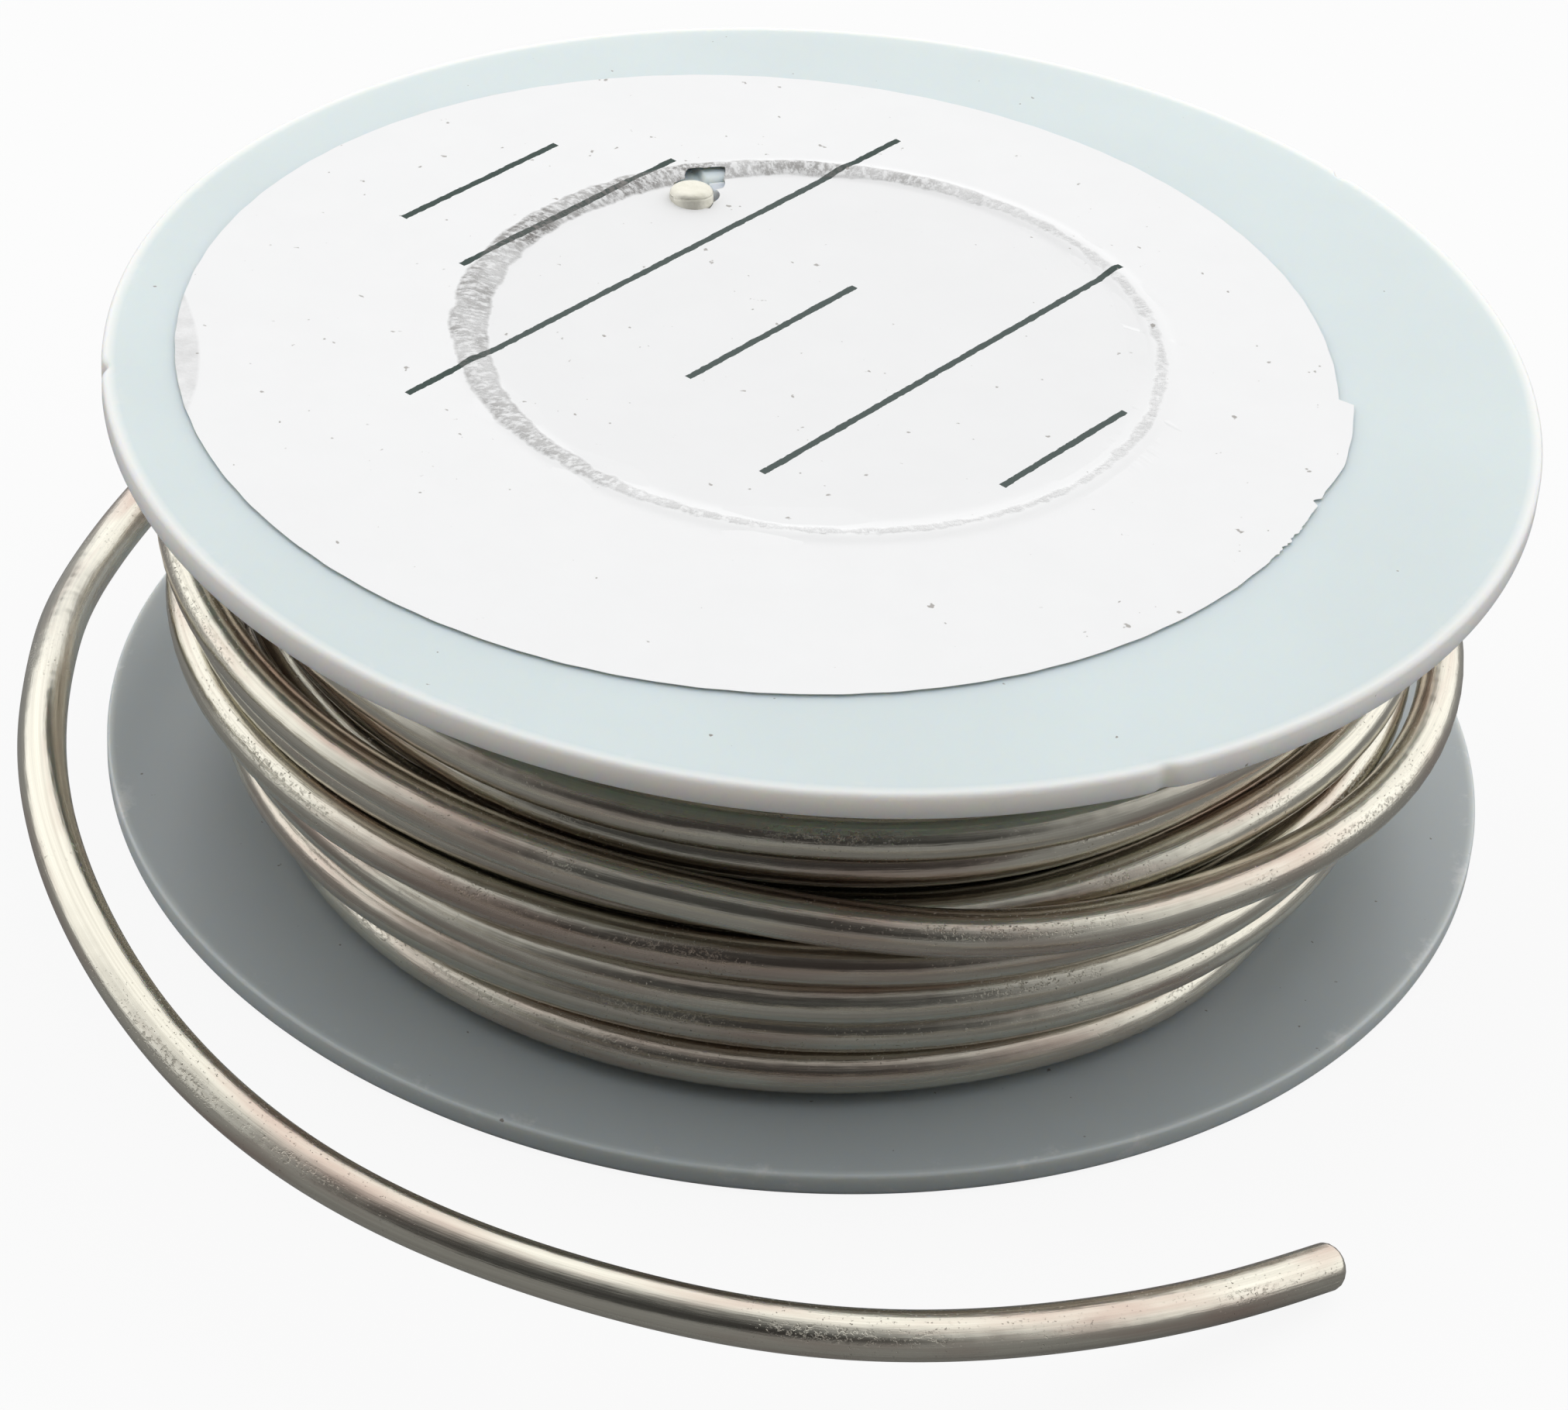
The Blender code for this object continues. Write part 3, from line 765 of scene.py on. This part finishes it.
barrel_grid = turned(barrel_section(), ROUND_720)
in_notch = np.abs(FROM_NOTCH) * BARREL_RADIUS < NOTCH_HALF_WIDTH
notch_floor = START_HEIGHT - WIRE / 2 - NOTCH_CLEARANCE
cut_away = in_notch & (barrel_grid[..., 2] > notch_floor)
barrel_grid[..., 2] = np.where(cut_away, notch_floor, barrel_grid[..., 2])
barrel = surface("hub_barrel", barrel_grid, BARREL_PLASTIC, close_rows=True)
barrel.data.set_sharp_from_angle(angle=BARREL_SHARP)
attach(barrel, "root")
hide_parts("barrel")

# %% [markdown]
# ## The label
#
# A round of uncoated paper, stuck a little off centre. The barrel's mouth has pressed a ring into it,
# handling has rubbed that ring grey, and the paper is torn open over the notch. A grid that runs
# from the torn hole outwards to the label's edge follows both outlines, so neither needs a cut.

# %% Paper finish
RING_CENTRE = (-0.4, 1.3)
RING_RADIUS = 12.35
RING_DARKEST = (-0.89, 0.45, 0.0)
RING_WIDENING = 0.46
RING_LEAST, RING_MOST = 0.12, 0.36
RING_SOFTNESS = 0.14
RING_LINE_OUT, RING_LINE_IN = 0.1, 0.3
HOLLOW_SHADE_FROM, HOLLOW_SHADE_FULL = 12.2, 12.0
RULE_ANGLE = math.radians(52)
RULED_LINES = [(17.1, -3.9, 4.3), (13.3, -4.8, 6.7), (8.5, -12.5, 14.2), (2.6, -4.5, 4.6),
               (-3.2, -7.2, 12.9), (-9.4, -1.8, 5.1)]
RULE_WIDTH = 0.28
RULE_FRAY = 0.12
INK = (0.035, 0.06, 0.052, 1)
LIFT_SHADE_FROM = 19.7
LIFT_SHADE_SOFTNESS = 0.12
LIFT_SHADE_MIDDLE = -3.1
LIFT_SHADE_NARROWING = 0.057
LIFT_SHADE_LEFT_OF = -15.0


def ruled_lines(made, place):
    """1 on a few ruled lines that run at RULE_ANGLE: each has a place across and two ends, in mm."""
    turned_back = made.add("Mapping", {"vector_type": "TEXTURE"}, Vector=place,
                           Rotation=(0.0, 0.0, RULE_ANGLE)).outputs["Vector"]
    parts = made.add("SeparateXYZ", Vector=turned_back).outputs
    frayed = made.times(made.noise(place, 3000.0, 3.0), RULE_FRAY * MM)
    across = made.math("ADD", parts["Y"], frayed)
    ink = 0.0
    for line, first, last in RULED_LINES:
        middle, half_length = (first + last) / 2, (last - first) / 2
        on_line = made.math("COMPARE", across, line * MM, RULE_WIDTH / 2 * MM)
        between = made.math("COMPARE", parts["X"], middle * MM, half_length * MM)
        ink = made.math("MAXIMUM", made.times(on_line, between), ink)
    return ink


def rubbed_ring(made, place, centred, radius):
    """The ring that the barrel's mouth pressed: how grey it is, 1 where it lies, and its crumbs.

    It is widest and greyest towards RING_DARKEST, crumbly in its middle, and has a faint edge.
    """
    heading = made.vector("NORMALIZE", centred)["Vector"]
    towards = made.vector("DOT_PRODUCT", heading, RING_DARKEST)["Value"]
    rubbed_side = made.span(towards, -0.35, 0.85)
    uneven = made.span(made.noise(place, 900.0, 3.0, 0.6), 0.3, 0.7, RING_LEAST * MM, RING_MOST * MM)
    half_width = made.math("MULTIPLY_ADD", rubbed_side, RING_WIDENING * MM, uneven)
    from_ring = made.math("ABSOLUTE", made.math("SUBTRACT", radius, RING_RADIUS * MM))
    depth = made.math("SUBTRACT", half_width, from_ring)
    on_ring = made.span(depth, 0.0, RING_SOFTNESS * MM)
    at_edge = made.times(on_ring, made.span(depth, RING_LINE_IN * MM, RING_LINE_OUT * MM))
    legs = made.add("SeparateXYZ", Vector=centred).outputs
    way_round = made.times(made.math("ARCTAN2", legs["Y"], legs["X"]), RING_RADIUS * MM)
    wrinkles = made.add("CombineXYZ", X=way_round, Y=made.times(radius, 0.45)).outputs[0]
    crumbs = made.span(made.noise(wrinkles, 4200.0, 5.0, 0.75), 0.44, 0.57)
    cloudy = made.span(made.noise(place, 300.0, 3.0), 0.36, 0.60, 0.35, 1.0)
    strength = made.times(cloudy, made.span(crumbs, 0.0, 1.0, 0.22, 1.0))
    faint = made.span(rubbed_side, 0.0, 1.0, 0.22, 1.0)
    scuff = made.times(on_ring, made.times(strength, faint))
    edge = made.times(at_edge, made.times(faint, 0.4))
    return made.math("MAXIMUM", scuff, edge), on_ring, crumbs


def lifted_edge_shade(made, place):
    """1 where painted shade greys the lifted, translucent stretch of the label's left edge: a band
    that narrows away from its middle.
    """
    reach = made.vector("LENGTH", made.flat_from(place, LABEL_CENTRE))["Value"]
    parts = made.add("SeparateXYZ", Vector=place).outputs
    off = made.math("SUBTRACT", parts["Y"], LIFT_SHADE_MIDDLE * MM)
    depth = made.math("SUBTRACT", reach, made.times(made.times(off, off), LIFT_SHADE_NARROWING / MM))
    lifted_shade = made.span(depth, LIFT_SHADE_FROM * MM, (LIFT_SHADE_FROM + LIFT_SHADE_SOFTNESS) * MM)
    lifted_shade = made.times(lifted_shade, made.math("LESS_THAN", parts["X"], LIFT_SHADE_LEFT_OF * MM))
    return made.times(lifted_shade, made.span(made.noise(place, 700.0, 5.0, 0.7), 0.35, 0.65, 0.25, 1.0))


def label_paper():
    """White paper with specks, ruled lines and a rubbed grey ring, with painted shade in the hollow
    inside the ring and at the paper's lifted left edge.
    """
    made = Finish("label_paper", Roughness=0.82)
    place = made.add("TexCoord").outputs["Object"]
    centred = made.flat_from(place, RING_CENTRE)
    radius = made.vector("LENGTH", centred)["Value"]
    scuff, on_ring, crumbs = rubbed_ring(made, place, centred, radius)
    lifted_shade = lifted_edge_shade(made, place)
    # Painted shade: the paper over the open bore, inside the ring's hollow, is made greyer.
    hollow = made.span(radius, HOLLOW_SHADE_FROM * MM, HOLLOW_SHADE_FULL * MM, 0.0, 0.07)
    speck = made.span(made.noise(place, 2100.0, 2.0), 0.735, 0.77)
    paper = made.mix(made.noise(place, 500.0, 4.0), grey(0.88, -0.003), grey(0.91, -0.003))
    # Painted shade: the lifted stretch of the left edge is made grey.
    paper = made.mix(made.times(lifted_shade, 0.5), paper, grey(0.52))
    paper = made.mix(ruled_lines(made, place), paper, INK)
    paper = made.mix(hollow, paper, grey(0.45, -0.02))
    paper = made.mix(scuff, paper, grey(0.20, 0.05))
    paper = made.mix(made.times(speck, 0.8), paper, grey(0.30, 0.08))
    fibres = made.mapped(place, (1.0, 0.35, 1.0))
    lean = made.bump(made.noise(fibres, 2600.0, 4.0, 0.65), 0.18, 0.03)
    lean = made.bump(made.times(on_ring, crumbs), 0.5, 0.06, lean)
    lean = made.bump(lifted_shade, 0.5, 0.06, lean)
    made.set(made.shader, {"Base Color": paper, "Normal": lean})
    return made.material


# %% The label's sheet
LABEL_LOW = 16.903
LABEL_THICKNESS = 0.02
TEAR_CENTRE = (-5.1, 11.5)
TEAR = [(2, 0.50), (13, 0.78), (50, 1.15), (65, 1.75), (88, 1.39), (117, 1.35), (143, 0.85),
        (170, 1.07), (215, 1.16), (247, 1.55), (265, 1.50), (284, 1.50), (296, 1.08)]
OUTLINE = [(-45, LABEL_RADIUS), (-17, 20.68), (-12, 20.95), (-0.8, 21.02), (0, 20.5),
           (20, LABEL_RADIUS)]
EDGE_NOTCH, EDGE_NOTCH_WIDTH, EDGE_NOTCH_DEPTH = -19.0, 0.7, 0.28
FIBRES, FIBRES_WIDTH, FIBRES_LENGTH = -27, 3.5, 0.09
EDGE_ROUGHNESS = 0.015
RIDGE_HEIGHT, RIDGE_WIDTH = 0.07, 0.5
HOLLOW_DEPTH, HOLLOW_SOFTNESS = 0.06, 0.12
STEPS_ROUND, FINE_STEPS = 392, 120
FINE_FROM, FINE_TO = 324.1, 359.8
STEPS_OUTWARDS, CROWDING = 150, 1.15
UNDERSIDE_STEP = 8
LABEL_SHARP = math.radians(50)


def label_edge(angle):
    """The paper's outline at angles round its own centre: a circle that steps out at the right.

    Past the step it comes back in slowly, and a short notch and a stretch of loose fibres follow.
    """
    degrees = (np.degrees(angle) + 180) % 360 - 180
    radius = np.interp(degrees, *zip(*OUTLINE))
    in_notch = np.clip(1 - np.abs(degrees - EDGE_NOTCH) / EDGE_NOTCH_WIDTH, 0.0, 1.0)
    radius = radius - EDGE_NOTCH_DEPTH * in_notch
    fibres = np.exp(-((degrees - FIBRES) / FIBRES_WIDTH) ** 2)
    radius = radius + fibres * FIBRES_LENGTH * np.sin(5.1 * degrees) * np.sin(2.3 * degrees)
    radius = radius + EDGE_ROUGHNESS * np.sin(71 * angle) * np.sin(13 * angle)
    return around(LABEL_CENTRE, radius, angle)


def tear_edge(angle):
    """The torn hole's outline: straight tears between a few corners, given round its middle."""
    return around(TEAR_CENTRE, np.interp(np.degrees(angle), *zip(*TEAR), period=360), angle)


def label_height(x, y):
    """Height of the paper's face above its seat: a raised ring, a hollow inside it, and the warp."""
    from_ring = np.hypot(x - RING_CENTRE[0], y - RING_CENTRE[1]) - RING_RADIUS
    ridge = RIDGE_HEIGHT * np.exp(-(from_ring / RIDGE_WIDTH) ** 4)
    hollow = HOLLOW_DEPTH / (1 + np.exp(-from_ring / HOLLOW_SOFTNESS))
    return ridge + hollow + upper_warp(np.hypot(x, y), np.arctan2(y, x))


angle = np.sort(np.concatenate([np.linspace(0.0, math.tau, STEPS_ROUND, endpoint=False),
                                np.radians(np.linspace(FINE_FROM, FINE_TO, FINE_STEPS))]))
outwards = (np.linspace(0.0, 1.0, STEPS_OUTWARDS) ** CROWDING)[:, None, None]
flat_face = tear_edge(angle) * (1 - outwards) + label_edge(angle) * outwards
lift = label_height(flat_face[..., 0], flat_face[..., 1])
top = np.dstack([flat_face, LABEL_LOW + LABEL_THICKNESS + lift])
under = np.dstack([flat_face, LABEL_LOW + lift])[::-UNDERSIDE_STEP]
label = surface("label_sheet", np.vstack([top, under]), label_paper(), close_rows=True)
label.data.set_sharp_from_angle(angle=LABEL_SHARP)
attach(label, "root")
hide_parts("paper_label")

# %% [markdown]
# ## Table, light and background
#
# The spool stands on a plain pale table under soft light from above. The picture's white background
# is not more light: camera rays simply see the table and the world as white, and mirror and glass
# rays see a little of that white on the table.

# %% Table
TABLE_SIZE = 3.0
TABLE_TOP = -0.01 * MM
WHITE_SHARE = 0.90
MIRRORED_WHITE = 0.06
SEEN_GREY, BOUNCED_GREY = 0.72, 0.22


def eye_share(finish, straight, mirrored):
    """One share for camera rays and another for glossy and transmission rays, 0 for the rest."""
    rays = finish.add("LightPath").outputs
    either = finish.math("MAXIMUM", rays["Is Glossy Ray"], rays["Is Transmission Ray"])
    return finish.math("ADD", finish.times(rays["Is Camera Ray"], straight),
                       finish.times(either, mirrored))


corner = TABLE_SIZE / 2
table_mesh = bpy.data.meshes.new("table")
table_mesh.from_pydata([(-corner, -corner, TABLE_TOP), (corner, -corner, TABLE_TOP),
                        (corner, corner, TABLE_TOP), (-corner, corner, TABLE_TOP)], [],
                       [(0, 1, 2, 3)])
table = bpy.data.objects.new("table", table_mesh)
bpy.context.scene.collection.objects.link(table)
paint = Finish("pale_table", Roughness=0.9)
seen = paint.add("LightPath").outputs["Is Camera Ray"]
paint.set(paint.shader, {"Base Color": paint.mix(seen, grey(BOUNCED_GREY), grey(SEEN_GREY))})
glow = paint.add("Emission", Color=grey(1.0), Strength=1.0)
blend = paint.add("MixShader", _0=eye_share(paint, WHITE_SHARE, MIRRORED_WHITE),
                  _1=paint.shader.outputs[0], _2=glow.outputs[0])
paint.tree.links.new(blend.outputs[0], paint.tree.nodes["Material Output"].inputs["Surface"])
table_mesh.materials.append(paint.material)

# %% [markdown]
# The room is evenly bright, except low in front, where whoever takes the picture stands in the
# light. That dark place is what gives the metal its dark lines, and leaves the lower flange in shade
# at the front. It is a soft round spot on the world: the dot product of a direction with the one
# towards the camera's side is 1 in the middle of the spot and falls off round it.

# %% Room light
ROOM_DARK, ROOM_BRIGHT = 0.05, 1.50
PHOTOGRAPHER = (-0.03, -0.98, 0.19)
ALL_DARK, ALL_BRIGHT = 0.90, -0.10

world = bpy.data.worlds.new("room")
bpy.context.scene.world = world
world.use_nodes = True
room = Finish.around(world.node_tree)
direction = room.add("TexCoord").outputs["Generated"]
towards = room.vector("DOT_PRODUCT", direction, PHOTOGRAPHER)["Value"]
level = room.add("MapRange", {"interpolation_type": "SMOOTHSTEP"}, Value=towards,
                 From_Min=ALL_BRIGHT, From_Max=ALL_DARK, To_Min=ROOM_BRIGHT,
                 To_Max=ROOM_DARK).outputs["Result"]
ceiling = room.add("Background", Color=grey(1.0), Strength=level)
white = room.add("Background", Color=grey(1.0), Strength=1.0)
seen = room.add("LightPath").outputs["Is Camera Ray"]
choose = room.add("MixShader", _0=seen, _1=ceiling.outputs[0], _2=white.outputs[0])
world_out = world.node_tree.nodes["World Output"]
world.node_tree.links.new(choose.outputs[0], world_out.inputs["Surface"])
bpy.context.scene.view_settings.view_transform = "Standard"
